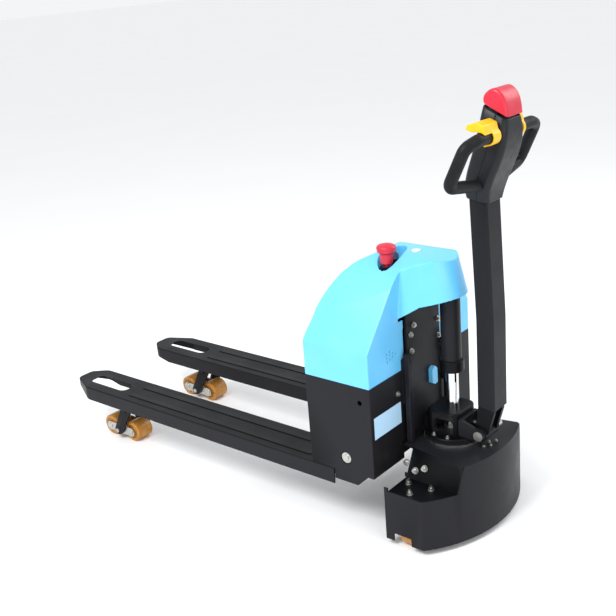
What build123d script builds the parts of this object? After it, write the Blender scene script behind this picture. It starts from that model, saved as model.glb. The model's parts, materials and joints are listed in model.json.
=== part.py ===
from build123d import *
import math
import os

# Electric pallet jack, forks raised.  +X right, +Y toward the fork tips, +Z up, origin on the floor.

# ---- driving dimensions (mm) ----
WIDTH = 550.0
HALF = WIDTH / 2
REAR = -550.8                       # rear face of the battery box
NOSE = REAR + 1424.0                # tips of the forks
HEEL = REAR + 236.0                 # front face of the battery box
STEER = REAR - 105.0                # steering and lift cylinder axis

FORK_W = 151.0
FORK_X = HALF - FORK_W / 2          # middle of each fork
FORK_TOP = 195.0
FORK_DEPTH = 50.0
FORK_LOW = FORK_TOP - FORK_DEPTH
PLATE = 5.0                         # fork and skirt plate

BOX_X = 272.0                       # half width of battery box and cover
BOX_FLOOR = 200.0
SEAM = 486.0                        # joint between battery box and cover
RECESS_X = 116.0                    # half width of the pocket round the drive unit
COVER_RECESS_X = 94.0               # half width of the cover's opening at the mast
WALL = 4.0

CREST = 592.0                       # top of the cover's upright band
PANEL = (-46.0, REAR + 58.0)        # middle of the oval key panel
PANEL_LONG = 76.0
PANEL_SHORT = 36.0
PANEL_Z = 782.0                     # face of the key panel
STOP = (-84.0, REAR + 52.0)         # emergency stop button
COVER_TOP = 828.0

SKIRT_LOW = 18.0
SHELF = 175.0                       # top of the castor shelves
DECK = 256.0                        # top of the deck
BUMPER_SAG = 110.0                  # how far the bumper wall bows out behind its corners
SKIRT_FRONT = REAR - 35.0
SKIRT_CORNER = REAR - 165.0

ROD_R = 19.0
TUBE_R = 30.0
YOKE_TOP = 352.0
FIT = 0.05                          # running clearance on radius

ROLLER_R = 37.5
ROLLER_W = 66.0
BOGIE = 57.0                        # half spacing of the tandem rollers
PIVOT = (REAR + 1120.0, 160.0)      # load arm pivot, y and z
BOGIE_PIN = (REAR + 1200.0, ROLLER_R)
ROD_PIN = (REAR + 1147.0, 131.0)    # push rod pin on the load arm
SHAFT = (REAR + 200.0, 172.0)       # torsion shaft
CRANK = 28.0
CRANK_TURN = math.radians(12.7)     # crank leans back this far at full lift

DRIVE_R = 100.0
CASTOR = (215.0, REAR - 98.5)
CASTOR_R = 37.5
CASTOR_TRAIL = 14.0

TILT = (REAR - 218.0, 298.0)        # tiller pivot, y and z
SIDES = (("left", -1), ("right", 1))


def prism_x(points, x_from, x_to):
    """Closed y-z outline drawn out along X."""
    with BuildPart() as body:
        with BuildSketch(Plane.YZ.offset(x_from)):
            with BuildLine():
                Polyline(*points, close=True)
            make_face()
        extrude(amount=x_to - x_from)
    return body.part


def rod_x(y, z, radius, x_from, x_to):
    """Round bar along X."""
    with BuildPart() as body:
        with BuildSketch(Plane.YZ.offset(x_from)):
            with Locations((y, z)):
                Circle(radius)
        extrude(amount=x_to - x_from)
    return body.part


def slab(x_from, x_to, y_from, y_to, z_from, z_to):
    """Plain block between two corners."""
    with BuildPart() as body:
        with BuildSketch(Plane.XY.offset(z_from)):
            with Locations(((x_from + x_to) / 2, (y_from + y_to) / 2)):
                Rectangle(x_to - x_from, y_to - y_from)
        extrude(amount=z_to - z_from)
    return body.part


def disc(x, y, radius, z_from, z_to):
    """Upright cylinder."""
    with BuildPart() as body:
        with BuildSketch(Plane.XY.offset(z_from)):
            with Locations((x, y)):
                Circle(radius)
        extrude(amount=z_to - z_from)
    return body.part


def hex_bolt(plane, flats=17.0, head=7.0, stud=5.0):
    """Hexagon nut on a washer with the stud end showing."""
    with BuildPart() as bolt:
        with BuildSketch(plane):
            Circle(flats * 0.68)
        extrude(amount=2.0)
        with BuildSketch(plane.offset(2.0)):
            RegularPolygon(flats / 2, 6, major_radius=False)
        extrude(amount=head)
        with BuildSketch(plane.offset(2.0 + head)):
            Circle(flats * 0.3)
        extrude(amount=stud)
    return bolt.part


# ---- forks ----
def fork_plan(inset, side):
    """Plan of one fork: straight sides, the outer one tapering further back at the tip."""
    heel = REAR + 150.0
    tip = NOSE - inset
    outer = side * (FORK_W / 2 - inset)
    with BuildSketch(mode=Mode.PRIVATE) as plan:
        with BuildLine():
            Polyline(
                (-outer, heel),
                (-outer, tip - 52.0),
                (-34.0 * side, tip),
                (30.0 * side, tip),
                (outer, tip - 100.0),
                (outer, heel),
                close=True,
            )
        make_face()
        fillet([v for v in plan.vertices() if v.Y > tip - 10.0], 26.0)
        fillet([v for v in plan.vertices() if tip - 110.0 < v.Y < tip - 50.0 and abs(v.X) > abs(outer) - 1.0], 40.0)
    return plan.sketch


for name, side in SIDES:
    middle = side * FORK_X
    with BuildPart() as fork:
        with BuildSketch(Plane.XY.offset(FORK_LOW)):
            with Locations((middle, 0)):
                add(fork_plan(0.0, side))
        extrude(amount=FORK_DEPTH)
        fillet(fork.faces().sort_by(Axis.Z)[-1].edges(), 4.0)
        with BuildSketch(Plane.XY.offset(FORK_LOW - 1.0)):
            with Locations((middle, 0)):
                add(fork_plan(PLATE, side))
            with Locations((middle, REAR + 150.0)):
                Rectangle(FORK_W - 2 * PLATE, 30.0)
        extrude(amount=FORK_DEPTH - 3.0, mode=Mode.SUBTRACT)
        # underside rises towards the tip
        add(
            prism_x(
                [(NOSE - 120.0, FORK_LOW - 2.0), (NOSE + 5.0, FORK_LOW - 2.0),
                    (NOSE + 5.0, FORK_LOW + 26.0)],
                middle - FORK_W,
                middle + FORK_W,
            ),
            mode=Mode.SUBTRACT,
        )
        # slot over the load rollers
        with BuildSketch(Plane.XY.offset(FORK_TOP + 1.0)):
            with Locations((middle + side * 2.0, REAR + 1260.0)):
                RectangleRounded(58.0, 192.0, 24.0)
        extrude(amount=-8.0, mode=Mode.SUBTRACT)
        # pressed stiffening ribs
        with BuildSketch(Plane.XY.offset(FORK_TOP - 1.0)):
            with Locations((middle - 34.0, REAR + 695.0), (middle + 34.0, REAR + 695.0)):
                SlotOverall(860.0, 20.0, rotation=90)
        extrude(amount=3.0)
        # bore for the torsion shaft in the inner skirt
        bore_from, bore_to = sorted((middle - side * (FORK_W / 2 + 1.0),
            middle + side * (FORK_W / 2 - 8.0)))
        add(rod_x(SHAFT[0], SHAFT[1], 15.0 + FIT, bore_from, bore_to), mode=Mode.SUBTRACT)
    fork.part.label = f"fork_{name}"
    export_step(fork.part, f"parts/fork_{name}.step")

# stub shafts that the load arms turn on, welded inside the fork skirts
with BuildPart() as arm_shafts:
    for name, side in SIDES:
        for end in (-1, 1):
            middle = side * FORK_X
            inner = middle + end * 38.0
            outer = middle + end * (FORK_W / 2 - PLATE)
            add(rod_x(PIVOT[0], PIVOT[1], 9.0, min(inner, outer), max(inner, outer)))
arm_shafts.part.label = "arm_shafts"
export_step(arm_shafts.part, "parts/arm_shafts.step")


# ---- load arms, bogies and rollers ----
for name, side in SIDES:
    middle = side * FORK_X
    with BuildPart() as load_arm:
        for end in (-1, 1):
            inner = middle + end * 42.5
            with BuildSketch(Plane.YZ.offset(inner)):
                with BuildSketch(mode=Mode.PRIVATE) as bosses:
                    with Locations(PIVOT):
                        Circle(19.0)
                    with Locations((ROD_PIN[0] + 2.0, ROD_PIN[1] - 4.0)):
                        Circle(20.0)
                    with Locations(BOGIE_PIN):
                        Circle(18.0)
                make_hull(bosses.sketch.edges())
            extrude(amount=end * 8.0)
            # heads of the push rod pin and the bogie pin
            pin = middle + end * 50.5
            tip = middle + end * 58.0
            add(rod_x(*ROD_PIN, 9.0, min(pin, tip), max(pin, tip)))
        add(rod_x(*ROD_PIN, 6.0, middle - 50.0, middle + 50.0))
        for end in (-1, 1):
            near = middle + end * 12.0
            far = middle + end * 43.0
            add(rod_x(*ROD_PIN, 11.0, min(near, far), max(near, far)))
        add(rod_x(*PIVOT, 9.0 + FIT, middle - 60.0, middle + 60.0), mode=Mode.SUBTRACT)
        add(rod_x(*BOGIE_PIN, 8.0 + FIT, middle - 60.0, middle + 60.0), mode=Mode.SUBTRACT)
    load_arm.part.label = f"load_arm_{name}"
    export_step(load_arm.part, f"parts/load_arm_{name}.step")

    # bogie: two link plates, the centre pin and the two roller axles, each plate slotted round its axles
    with BuildPart() as bogie:
        for end in (-1, 1):
            with BuildSketch(Plane.YZ.offset(middle + end * 35.0)):
                with Locations(BOGIE_PIN):
                    SlotCenterToCenter(2 * BOGIE, 34.0)
            extrude(amount=end * 5.0)
        for offset_y in (-BOGIE, BOGIE):
            add(rod_x(BOGIE_PIN[0] + offset_y, BOGIE_PIN[1], 10.0, middle - 41.5, middle + 41.5))
        add(rod_x(*BOGIE_PIN, 8.0, middle - 56.0, middle + 56.0))
    bogie.part.label = f"bogie_{name}"
    export_step(bogie.part, f"parts/bogie_{name}.step")

    for place, offset_y in (("rear", -BOGIE), ("front", BOGIE)):
        with BuildPart() as roller:
            with BuildSketch(Plane.YZ.offset(middle - ROLLER_W / 2)):
                with Locations((BOGIE_PIN[0] + offset_y, BOGIE_PIN[1])):
                    Circle(ROLLER_R)
            extrude(amount=ROLLER_W)
            chamfer(roller.edges().filter_by(GeomType.CIRCLE), 2.5)
            for end in (-1, 1):
                with BuildSketch(Plane.YZ.offset(middle + end * ROLLER_W / 2)):
                    with Locations((BOGIE_PIN[0] + offset_y, BOGIE_PIN[1])):
                        Circle(24.0)
                extrude(amount=-end * 3.0, mode=Mode.SUBTRACT)
            add(
                rod_x(BOGIE_PIN[0] + offset_y, BOGIE_PIN[1], 10.0 + FIT, middle - 40.0, middle + 40.0),
                mode=Mode.SUBTRACT,
            )
        roller.part.label = f"load_roller_{place}_{name}"
        export_step(roller.part, f"parts/load_roller_{place}_{name}.step")

    # push rod from the torsion shaft's crank to the load arm; its rear eye is slotted
    crank_y = SHAFT[0] - CRANK * math.sin(CRANK_TURN)
    crank_z = SHAFT[1] - CRANK * math.cos(CRANK_TURN)
    with BuildPart() as push_rod:
        with BuildSketch(Plane.YZ.offset(middle - 6.0)):
            with BuildLine():
                Polyline(
                    (crank_y, crank_z - 7.0),
                    (ROD_PIN[0], ROD_PIN[1] - 8.0),
                    (ROD_PIN[0], ROD_PIN[1] + 8.0),
                    (crank_y, crank_z + 7.0),
                    close=True,
                )
            make_face()
            with Locations(ROD_PIN):
                Circle(13.0)
            with Locations((crank_y, crank_z)):
                SlotOverall(40.0, 19.0)
        extrude(amount=12.0)
        add(rod_x(*ROD_PIN, 6.0 + FIT, middle - 10.0, middle + 10.0), mode=Mode.SUBTRACT)
        with BuildSketch(Plane.YZ.offset(middle - 10.0)):
            with Locations((crank_y, crank_z)):
                SlotOverall(26.0, 12.4)
        extrude(amount=20.0, mode=Mode.SUBTRACT)
    push_rod.part.label = f"push_rod_{name}"
    export_step(push_rod.part, f"parts/push_rod_{name}.step")

with BuildPart() as torsion_shaft:
    add(rod_x(*SHAFT, 15.0, -FORK_X - 30.0, FORK_X + 30.0))
    for name, side in SIDES:
        for end in (-1, 1):
            with BuildSketch(Plane.YZ.offset(side * FORK_X + end * 8.0)):
                with BuildSketch(mode=Mode.PRIVATE) as ends:
                    with Locations(SHAFT):
                        Circle(17.0)
                    with Locations((crank_y, crank_z)):
                        Circle(10.0)
                make_hull(ends.sketch.edges())
            extrude(amount=end * 6.0)
        add(rod_x(crank_y, crank_z, 4.8, side * FORK_X - 12.0, side * FORK_X + 12.0))
torsion_shaft.part.label = "torsion_shaft"
export_step(torsion_shaft.part, "parts/torsion_shaft.step")

# ---- battery box ----
BOX_SIDE = [
    (REAR, BOX_FLOOR + 8.0),
    (REAR + 22.0, BOX_FLOOR),
    (REAR + 61.0, 163.0),
    (REAR + 149.0, 163.0),
    (REAR + 149.0, FORK_TOP),
    (HEEL, FORK_TOP),
    (HEEL, SEAM),
    (REAR, SEAM),
]
POCKET_Y = REAR + 18.0              # relief in the rear wall for the turning drive unit
POCKET_TOP = 262.0

with BuildPart() as battery_box:
    add(slab(-BOX_X, BOX_X, REAR, HEEL, BOX_FLOOR, SEAM))
    add(slab(-BOX_X + WALL, BOX_X - WALL, REAR + WALL, HEEL - WALL, BOX_FLOOR + WALL, SEAM + 1.0),
        mode=Mode.SUBTRACT)
    for name, side in SIDES:
        edge = side * BOX_X
        add(prism_x(BOX_SIDE, min(edge, edge - side * WALL), max(edge, edge - side * WALL)))
    add(slab(-RECESS_X - WALL, RECESS_X + WALL, REAR, POCKET_Y + WALL, BOX_FLOOR, POCKET_TOP + WALL))
    add(slab(-RECESS_X, RECESS_X, REAR - 1.0, POCKET_Y, BOX_FLOOR - 1.0, POCKET_TOP), mode=Mode.SUBTRACT)
    # side holes: a plain sight hole and a recess for the axle cap
    for name, side in SIDES:
        face = side * BOX_X
        add(rod_x(REAR + 37.0, 437.0, 8.0, face - 10.0, face + 10.0), mode=Mode.SUBTRACT)
        add(rod_x(REAR + 101.0, 243.0, 20.0, face - 10.0, face + 10.0), mode=Mode.SUBTRACT)
    fillet(battery_box.edges().filter_by(Axis.Z).filter_by(lambda e: abs(e.center().X) > BOX_X - 1.0), 2.5)
battery_box.part.label = "battery_box"
export_step(battery_box.part, "parts/battery_box.step")

with BuildPart() as battery:
    add(slab(-240.0, 240.0, REAR + 34.0, HEEL - 14.0, BOX_FLOOR + WALL, 430.0))
    fillet(battery.edges().filter_by(Axis.Z), 6.0)
battery.part.label = "battery"
export_step(battery.part, "parts/battery.step")

# zinc caps in the box's side recesses, and the fastenings of the mast plate
with BuildPart() as frame_bolts:
    for name, side in SIDES:
        face = side * (BOX_X - 12.0)
        end = side * (BOX_X - 2.0)
        add(rod_x(REAR + 101.0, 243.0, 17.0, min(face, end), max(face, end)))
        end = side * BOX_X
        face = side * (BOX_X - 2.0)
        add(rod_x(REAR + 101.0, 243.0, 9.0, min(face, end), max(face, end)))
    for x, z in ((-52.0, 611.0), (-69.0, 586.0), (-68.0, 534.0), (78.0, 588.0), (79.0, 534.0)):
        bolt_plane = Plane(origin=(x, REAR - 8.0, z), x_dir=(1, 0, 0), z_dir=(0, -1, 0))
        add(hex_bolt(bolt_plane, flats=13.0, head=5.0, stud=3.0))
    # latch screw of the battery box
    latch_plane = Plane(origin=(-134.0, REAR, 420.0), x_dir=(1, 0, 0), z_dir=(0, -1, 0))
    add(hex_bolt(latch_plane, flats=14.0, head=4.0, stud=2.0))
frame_bolts.part.label = "frame_bolts"
export_step(frame_bolts.part, "parts/frame_bolts.step")

with BuildPart() as data_plate:
    add(slab(-257.0, -123.0, REAR - 1.0, REAR, 322.0, 390.0))
data_plate.part.label = "data_plate"
export_step(data_plate.part, "parts/data_plate.step")


# ---- cover ----
def cover_solid(inset):
    """Outer shape of the cover, or its inside when inset is the wall thickness."""
    wide = BOX_X - inset
    back = REAR + inset
    front = HEEL - inset
    high = COVER_TOP + 17.0
    narrow_rear = 94.0 - inset
    narrow_front = 140.0 - inset
    with BuildPart() as body:
        with BuildSketch(Plane.XY.offset(SEAM - inset)):
            with Locations((0, (back + front) / 2)):
                Rectangle(2 * wide, front - back)
        extrude(amount=CREST - SEAM + inset)
        with BuildSketch(Plane.XY.offset(CREST)):
            with BuildLine():
                Polyline((-wide, back), (-wide, front), (wide, front), (wide, back), close=True)
            make_face()
        with BuildSketch(Plane.XY.offset(high)):
            with BuildLine():
                Polyline(
                    (-narrow_rear, back - 16.0),
                    (-narrow_front, front - 8.0),
                    (narrow_front, front - 8.0),
                    (narrow_rear, back - 16.0),
                    close=True,
                )
            make_face()
        loft(ruled=True)
        # hood over the lift cylinder, bullet-shaped in plan
        low_half = [(122.0 - inset, REAR + 6.0), (118.0 - inset, REAR - 25.0), (104.0 - inset, REAR - 65.0)]
        low_half += [(86.0 - inset, REAR - 114.0), (54.0 - inset, REAR - 152.0),
            (0.0, REAR - 170.0 + inset)]
        top_half = [(112.0 - inset, REAR + 6.0), (106.0 - inset, REAR - 18.0), (84.0 - inset, REAR - 50.0)]
        top_half += [(62.0 - inset, REAR - 86.0), (38.0 - inset, REAR - 107.0), (0.0, REAR - 121.0 + inset)]
        with BuildSketch(Plane.XY.offset(640.0)):
            with BuildLine():
                Spline(*low_half)
                Spline(*[(-x, y) for x, y in low_half])
                Line(low_half[0], (-low_half[0][0], low_half[0][1]))
            make_face()
        with BuildSketch(Plane.XY.offset(high)):
            with BuildLine():
                Spline(*top_half)
                Spline(*[(-x, y) for x, y in top_half])
                Line(top_half[0], (-top_half[0][0], top_half[0][1]))
            make_face()
        loft()
        # side view: rounded front shoulder and gently crowned top
        with BuildSketch(Plane.YZ.offset(-HALF - 10.0)):
            with BuildLine():
                Line((HEEL - inset, SEAM - 10.0), (HEEL - inset, CREST))
                Spline(
                    (HEEL - inset, CREST),
                    (REAR + 222.0 - inset, 650.0),
                    (REAR + 211.0 - inset, 705.0),
                    (REAR + 184.0 - inset, 762.0 - inset / 2),
                    (REAR + 134.0, 808.0 - inset),
                    (REAR + 50.0, COVER_TOP - 2.0 - inset),
                    (REAR - 20.0, COVER_TOP - inset),
                    (REAR - 128.0, COVER_TOP - 12.0 - inset),
                    tangents=((-0.05, 1.0), (-1.0, -0.15)),
                )
                Polyline(
                    (REAR - 128.0, COVER_TOP - 12.0 - inset),
                    (REAR - 180.0, COVER_TOP - 22.0 - inset),
                    (REAR - 180.0, SEAM - 10.0),
                    (HEEL - inset, SEAM - 10.0),
                )
            make_face()
        extrude(amount=WIDTH + 20.0, mode=Mode.INTERSECT)
        # crowned across
        shoulder_x = HALF + 5.0 - 1.4 * inset
        crown_half = 158.0
        crown = [(-crown_half, 755.0), (-128.0, 786.0), (-96.0, 807.0), (-56.0, 823.0),
            (0.0, COVER_TOP + 1.0)]
        crown += [(-x, z) for x, z in reversed(crown[:-1])]
        crown = [(x * (1.0 - 1.4 * inset / crown_half), z - inset) for x, z in crown]
        with BuildSketch(Plane.XZ.offset(-HEEL - 10.0)):
            with BuildLine():
                Spline(*crown)
                Polyline(crown[-1], (shoulder_x, 620.0), (shoulder_x, SEAM - 10.0))
                Line((shoulder_x, SEAM - 10.0), (-shoulder_x, SEAM - 10.0))
                Polyline((-shoulder_x, SEAM - 10.0), (-shoulder_x, 620.0), crown[0])
            make_face()
        extrude(amount=600.0, mode=Mode.INTERSECT)
    return body.part


def key_well(long_half, short_half, z_from):
    """Upright oval block round the key panel."""
    with BuildPart() as well:
        with BuildSketch(Plane.XY.offset(z_from)):
            with Locations(PANEL):
                Ellipse(long_half, short_half, rotation=14)
        extrude(amount=80.0)
    return well.part


# opening under the hood: recess between the rear panels, its upper edge climbing to the nose
RECESS_EDGE = [
    (REAR + 12.0, SEAM - 5.0),
    (REAR - 190.0, SEAM - 5.0),
    (REAR - 190.0, 712.0),
    (REAR - 150.0, 708.0),
    (REAR - 112.0, 700.0),
    (REAR - 64.0, 688.0),
    (REAR - 26.0, 664.0),
    (REAR + 12.0, 640.0),
]

with BuildPart() as cover:
    add(cover_solid(0.0))
    add(cover_solid(WALL), mode=Mode.SUBTRACT)
    add(prism_x(RECESS_EDGE, -COVER_RECESS_X, COVER_RECESS_X), mode=Mode.SUBTRACT)
    hood = [(y, z) for y, z in RECESS_EDGE if y < REAR - 20.0]
    add(prism_x([(REAR - 2.0, SEAM - 5.0)] + hood + [(REAR - 2.0, 650.0)], -140.0, 140.0),
        mode=Mode.SUBTRACT)
    # oval well for the key panel and a seat for the gauge
    add(key_well(PANEL_LONG + 4.0, PANEL_SHORT + 4.0, PANEL_Z - 14.0) & cover_solid(0.0))
    add(key_well(PANEL_LONG, PANEL_SHORT, PANEL_Z - 20.0), mode=Mode.SUBTRACT)
    add(disc(-12.0, REAR - 3.0, 14.0, COVER_TOP - 10.0, COVER_TOP + 10.0), mode=Mode.SUBTRACT)
    # vent holes
    vents = [(row, hole) for row in range(3) for hole in range(row + 2)]
    for row, hole in vents:
        vent_plane = Plane(origin=(0, REAR - 2.0, 0), x_dir=(1, 0, 0), z_dir=(0, 1, 0))
        with BuildSketch(vent_plane):
            with Locations((-176.0 + 14.0 * hole, -(560.0 - 12.0 * row + 4.0 * hole))):
                Circle(2.2)
        extrude(amount=12.0, mode=Mode.SUBTRACT)
cover.part.label = "cover"
export_step(cover.part, "parts/cover.step")

with BuildPart() as key_panel:
    with BuildSketch(Plane.XY.offset(PANEL_Z - 6.0)):
        with Locations(PANEL):
            Ellipse(PANEL_LONG - 0.5, PANEL_SHORT - 0.5, rotation=14)
    extrude(amount=6.0)
    # key barrel
    add(disc(-22.0, REAR + 66.0, 11.0, PANEL_Z, PANEL_Z + 14.0))
    add(disc(-22.0, REAR + 66.0, 4.0 + FIT, PANEL_Z - 10.0, PANEL_Z + 20.0), mode=Mode.SUBTRACT)
    # bore for the stop button's stem
    add(disc(*STOP, 16.0, PANEL_Z, PANEL_Z + 10.0))
    add(disc(*STOP, 8.0 + FIT, PANEL_Z - 10.0, PANEL_Z + 20.0), mode=Mode.SUBTRACT)
key_panel.part.label = "key_panel"
export_step(key_panel.part, "parts/key_panel.step")

with BuildPart() as key:
    add(disc(-22.0, REAR + 66.0, 4.0, PANEL_Z - 6.0, PANEL_Z + 16.0))
    add(slab(-23.2, -20.8, REAR + 54.0, REAR + 78.0, PANEL_Z + 16.0, PANEL_Z + 38.0))
    fillet(key.edges().filter_by(Axis.X).group_by(Axis.Z)[-1], 6.0)
key.part.label = "key"
export_step(key.part, "parts/key.step")

with BuildPart() as stop_button:
    middle, low = STOP[0], PANEL_Z
    with BuildSketch(Plane.XZ.offset(-STOP[1])):
        with BuildLine():
            Polyline(
                (middle, low - 14.0),
                (middle + 8.0, low - 14.0),
                (middle + 8.0, low + 22.0),
                (middle + 18.0, low + 22.0),
                (middle + 20.0, low + 50.0),
                (middle + 27.0, low + 56.0),
                (middle + 29.0, low + 66.0),
            )
            Spline((middle + 29.0, low + 66.0), (middle + 18.0, low + 77.0), (middle, low + 80.0),
                tangents=((0, 1), (-1, 0)))
            Line((middle, low + 80.0), (middle, low - 14.0))
        make_face()
    revolve(axis=Axis((middle, STOP[1], 0), (0, 0, 1)))
stop_button.part.label = "stop_button"
export_step(stop_button.part, "parts/stop_button.step")

with BuildPart() as battery_gauge:
    add(disc(-12.0, REAR - 3.0, 14.0, COVER_TOP - 3.0, COVER_TOP + 2.5))
    fillet(battery_gauge.edges().group_by(Axis.Z)[-1], 2.0)
battery_gauge.part.label = "battery_gauge"
export_step(battery_gauge.part, "parts/battery_gauge.step")

# ---- mast plate, guide shoes and lift cylinder ----
RAIL_X = 105.0
with BuildPart() as mast_plate:
    add(slab(-88.0, 88.0, REAR - 8.0, REAR - 0.5, 270.0, 742.0))
    add(slab(-112.0, 112.0, REAR - 8.0, REAR - 0.5, 380.0, 520.0))
    add(slab(-24.0, 24.0, STEER, REAR - 8.0, 761.0, 772.0))
    add(disc(0, STEER, 24.0, 761.0, 772.0))
    add(slab(-40.0, 40.0, REAR - 8.0, REAR - 0.5, 742.0, 772.0))
    for x in (-24.0, 16.0):
        add(prism_x([(REAR - 8.0, 690.0), (REAR - 8.0, 761.0), (REAR - 66.0, 761.0)], x, x + 8.0))
mast_plate.part.label = "mast_plate"
export_step(mast_plate.part, "parts/mast_plate.step")

with BuildPart() as guide_shoes:
    for side in (-1, 1):
        for z in (385.0, 480.0):
            for x in (side * RAIL_X - 9.0 - 5.5, side * RAIL_X + 9.5):
                if abs(x + 2.5) < RAIL_X:
                    add(slab(x, x + 5.0, REAR - 28.0, REAR - 8.0, z, z + 34.0))
guide_shoes.part.label = "guide_shoes"
export_step(guide_shoes.part, "parts/guide_shoes.step")

with BuildPart() as cylinder_tube:
    add(disc(0, STEER, TUBE_R, 505.0, 761.0))
    add(disc(0, STEER, TUBE_R - 5.0, 500.0, 750.0), mode=Mode.SUBTRACT)
    # hose port
    with BuildSketch(Plane(origin=(0, STEER + TUBE_R - 2.0, 545.0), z_dir=(0, 1, 0))):
        Circle(9.0)
    extrude(amount=14.0)
cylinder_tube.part.label = "cylinder_tube"
export_step(cylinder_tube.part, "parts/cylinder_tube.step")

with BuildPart() as cylinder_gland:
    add(disc(0, STEER, 37.0, 470.0, 505.0))
    add(disc(0, STEER, ROD_R + FIT, 460.0, 515.0), mode=Mode.SUBTRACT)
    fillet(cylinder_gland.edges().filter_by(GeomType.CIRCLE).filter_by(lambda e: e.radius > 36.0), 3.0)
cylinder_gland.part.label = "cylinder_gland"
export_step(cylinder_gland.part, "parts/cylinder_gland.step")

with BuildPart() as piston_rod:
    add(disc(0, STEER, ROD_R, YOKE_TOP + 0.3, 600.0))
    add(disc(0, STEER, TUBE_R - 5.0 - FIT, 600.0, 630.0))
piston_rod.part.label = "piston_rod"
export_step(piston_rod.part, "parts/piston_rod.step")

# hydraulic power pack and controller under the cover
with BuildPart() as power_pack:
    add(slab(20.0, 190.0, REAR + 40.0, REAR + 150.0, SEAM + 2.0, 560.0))
    add(disc(70.0, REAR + 95.0, 42.0, 560.0, 690.0))
    add(slab(120.0, 168.0, REAR + 60.0, REAR + 130.0, 560.0, 610.0))
power_pack.part.label = "power_pack"
export_step(power_pack.part, "parts/power_pack.step")

with BuildPart() as controller:
    add(slab(-190.0, -30.0, REAR + 60.0, REAR + 160.0, SEAM + 2.0, 530.0))
    for fin in range(7):
        add(slab(-186.0 + 24.0 * fin, -178.0 + 24.0 * fin, REAR + 60.0, REAR + 160.0, 530.0, 548.0))
controller.part.label = "controller"
export_step(controller.part, "parts/controller.step")

# battery plug hanging in the recess
with BuildPart() as battery_plug:
    with BuildSketch(Plane(origin=(0, REAR - 8.0, 0), x_dir=(1, 0, 0), z_dir=(0, -1, 0))):
        with BuildLine():
            Polyline((20.0, 398.0), (20.0, 440.0), (27.0, 448.0), (38.0, 448.0), (48.0, 438.0),
                (48.0, 392.0))
            Polyline((48.0, 392.0), (34.0, 390.0), (20.0, 398.0))
        make_face()
    extrude(amount=14.0)
battery_plug.part.label = "battery_plug"
export_step(battery_plug.part, "parts/battery_plug.step")


# ---- chassis ----
def skirt_plan(inset, front):
    """Plan of the chassis: straight sides and a bowed rear wall."""
    side = HALF - inset
    with BuildSketch(mode=Mode.PRIVATE) as plan:
        with BuildLine():
            Polyline((-side, SKIRT_CORNER), (-side, front), (side, front), (side, SKIRT_CORNER))
            ThreePointArc((side, SKIRT_CORNER), (0, SKIRT_CORNER - BUMPER_SAG + inset),
                (-side, SKIRT_CORNER))
        make_face()
        if inset == 0.0:
            fillet([v for v in plan.vertices() if abs(v.Y - SKIRT_CORNER) < 1.0], 14.0)
    return plan.sketch


def step_solid(inset):
    """Raised middle of the chassis, narrower at the top and towards the box."""
    with BuildPart() as body:
        with BuildSketch(Plane.XY.offset(SHELF - inset)):
            with BuildLine():
                Polyline(
                    (-175.0 + inset, REAR - 40.0 + inset),
                    (-175.0 + inset, REAR - 300.0),
                    (175.0 - inset, REAR - 300.0),
                    (175.0 - inset, REAR - 40.0 + inset),
                    close=True,
                )
            make_face()
        with BuildSketch(Plane.XY.offset(DECK - inset)):
            with BuildLine():
                Polyline(
                    (-127.0 + inset, REAR - 10.0 + inset),
                    (-178.0 + inset, REAR - 300.0),
                    (178.0 - inset, REAR - 300.0),
                    (127.0 - inset, REAR - 10.0 + inset),
                    close=True,
                )
            make_face()
        loft(ruled=True)
        with BuildSketch(Plane.XY.offset(SHELF - 20.0)):
            add(skirt_plan(PLATE, REAR + 30.0))
        extrude(amount=120.0, mode=Mode.INTERSECT)
    return body.part


with BuildPart() as skirt:
    with BuildSketch(Plane.XY.offset(SKIRT_LOW)):
        add(skirt_plan(0.0, SKIRT_FRONT))
        add(skirt_plan(PLATE, SKIRT_FRONT + 10.0), mode=Mode.SUBTRACT)
    extrude(amount=DECK + 2.0 - SKIRT_LOW)
    # top edge: low beside the shelves, rising to the deck
    for side in (-1, 1):
        with BuildSketch(Plane.XZ.offset(-(REAR + 10.0))):
            with BuildLine():
                Polyline(
                    (side * 184.0, SHELF + 2.0),
                    (side * 168.0, DECK - 14.0),
                    (side * 156.0, DECK + 5.0),
                    (side * 290.0, DECK + 5.0),
                    (side * 290.0, SHELF + 2.0),
                    close=True,
                )
            make_face()
        extrude(amount=400.0, mode=Mode.SUBTRACT)
        # front ear
        ear = side * (HALF - PLATE)
        add(slab(min(ear, side * HALF), max(ear, side * HALF), SKIRT_FRONT - 12.0, SKIRT_FRONT, SHELF,
            SHELF + 12.0))
        # castor window in the lower edge
        notch = [
            (REAR - 62.0, SKIRT_LOW - 5.0),
            (REAR - 62.0, 43.0),
            (REAR - 124.0, 43.0),
            (REAR - 124.0, SKIRT_LOW - 5.0),
        ]
        add(prism_x(notch, min(side * 280.0, side * 262.0), max(side * 280.0, side * 262.0)),
            mode=Mode.SUBTRACT)
    # castor shelves
    with BuildSketch(Plane.XY.offset(SHELF - 6.0)):
        add(skirt_plan(PLATE, REAR - 45.0))
        with Locations((0, REAR - 100.0)):
            Rectangle(2 * 152.0, 500.0, mode=Mode.SUBTRACT)
    extrude(amount=6.0)
skirt.part.label = "skirt"
export_step(skirt.part, "parts/skirt.step")

with BuildPart() as deck_housing:
    add(step_solid(0.0))
    add(step_solid(PLATE), mode=Mode.SUBTRACT)
    add(slab(-168.0, 168.0, REAR - 45.0, REAR + 5.0, SHELF - 10.0, DECK - PLATE), mode=Mode.SUBTRACT)
    add(disc(0, STEER, 62.0, DECK - 20.0, DECK + 10.0), mode=Mode.SUBTRACT)
deck_housing.part.label = "deck_housing"
export_step(deck_housing.part, "parts/deck_housing.step")

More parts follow.
